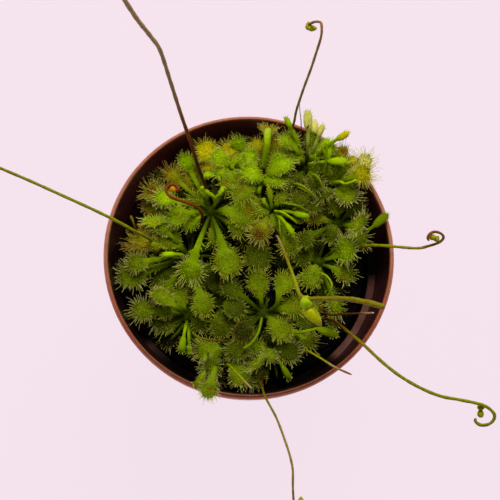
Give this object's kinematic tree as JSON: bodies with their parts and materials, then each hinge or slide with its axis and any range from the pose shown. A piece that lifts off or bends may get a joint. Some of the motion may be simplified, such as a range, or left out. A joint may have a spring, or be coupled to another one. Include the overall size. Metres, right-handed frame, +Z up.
{
  "type": "potted sundew plant",
  "caption": "Clump of spoon-leaved sundew with sticky tentacled leaves and thin curled flower stalks, growing in peat in a small round plastic nursery pot",
  "frame": {"origin": "centre of the flat underside of the pot", "axes": "+Z up; the pot's axis is Z; the clump's tallest side and the tall stalk lie towards +Y, the long arching stalk with the large curl towards +X"},
  "size_m": [0.1026, 0.0899, 0.1309],
  "materials": {
    "pot_plastic": "satin",
    "peat": "matte",
    "leaf": "satin",
    "stalk_olive": "satin",
    "stalk_red": "satin",
    "flower_bud": "satin"
  },
  "bodies": {
    "root": {"bud_red": "flower_bud", "buds_east": "flower_bud", "buds_middle": "flower_bud", "buds_north": "flower_bud", "buds_south": "flower_bud", "buds_southeast": "flower_bud", "buds_tall": "flower_bud", "buds_west": "flower_bud", "pot": "pot_plastic", "rosette_a": "leaf", "rosette_b": "leaf", "rosette_c": "leaf", "rosette_d": "leaf", "rosette_e": "leaf", "rosette_f": "leaf", "rosette_g": "leaf", "rosette_h": "leaf", "rosette_i": "leaf", "rosette_j": "leaf", "rosette_k": "leaf", "rosette_l": "leaf", "rosette_m": "leaf", "rosette_n": "leaf", "soil": "peat", "stalk_east": "stalk_olive", "stalk_middle": "stalk_olive", "stalk_north": "stalk_olive", "stalk_red": "stalk_red", "stalk_south": "stalk_olive", "stalk_southeast": "stalk_olive", "stalk_tall": "stalk_red", "stalk_west": "stalk_olive", "stub_east": "stalk_olive", "stub_south": "stalk_olive", "stub_southwest": "stalk_olive", "stub_west": "stalk_olive"}
  },
  "joints": []
}
